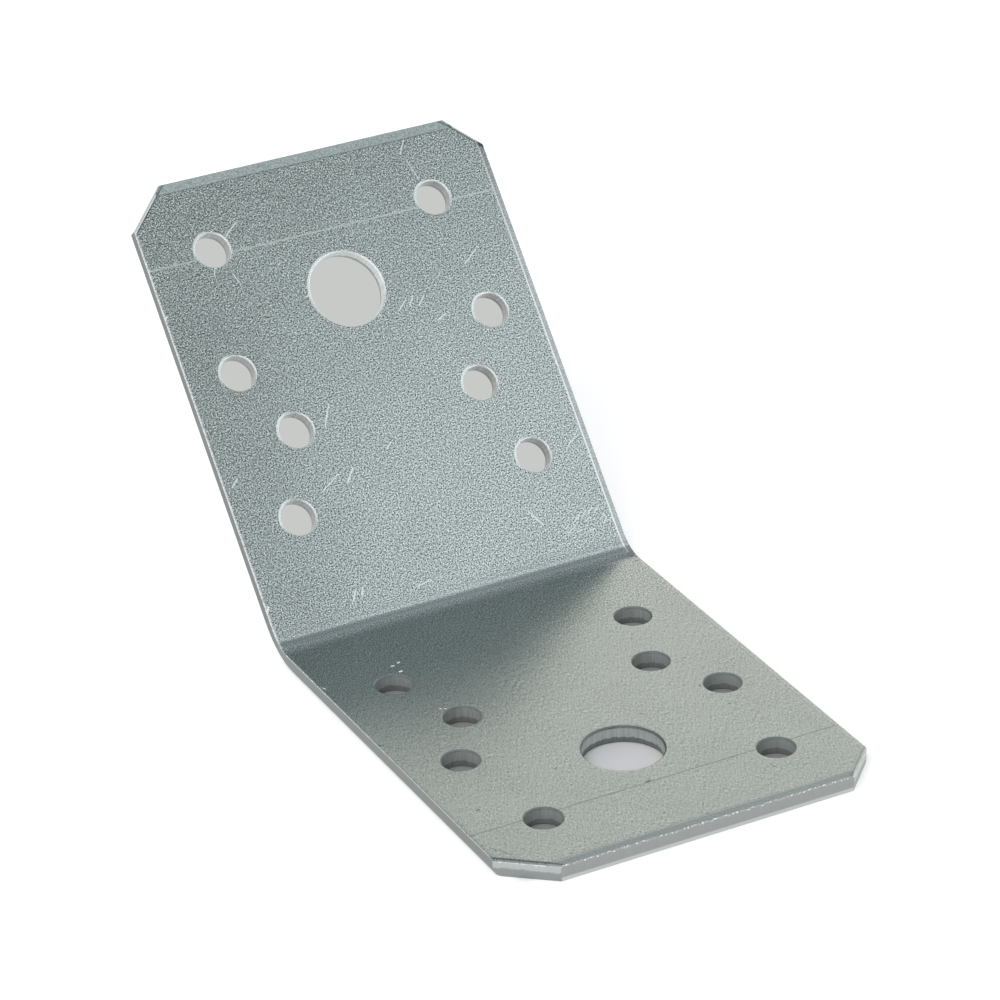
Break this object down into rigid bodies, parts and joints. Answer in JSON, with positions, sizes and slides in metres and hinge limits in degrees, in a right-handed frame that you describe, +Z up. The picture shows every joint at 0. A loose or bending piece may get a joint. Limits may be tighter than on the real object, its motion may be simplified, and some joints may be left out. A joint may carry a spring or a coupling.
{
  "type": "angle bracket",
  "caption": "Wide-angle folded sheet-steel bracket with two like legs, staggered nail holes, a bolt hole in each leg and cropped corners, for joining timbers.",
  "frame": {"origin": "middle of the underside of the bracket's box, on the plane of the lower leg's outer face", "axes": "+X across the strip, +Y from the lower leg's end towards the fold and the upper leg, +Z up, away from the face that the lower leg rests on"},
  "size_m": [0.055, 0.1146, 0.0526],
  "materials": {
    "galvanised_sheet": "zinc-coated steel sheet, matt, with a fine speckle"
  },
  "bodies": {
    "root": {"angle_bracket": "galvanised_sheet"}
  },
  "joints": []
}
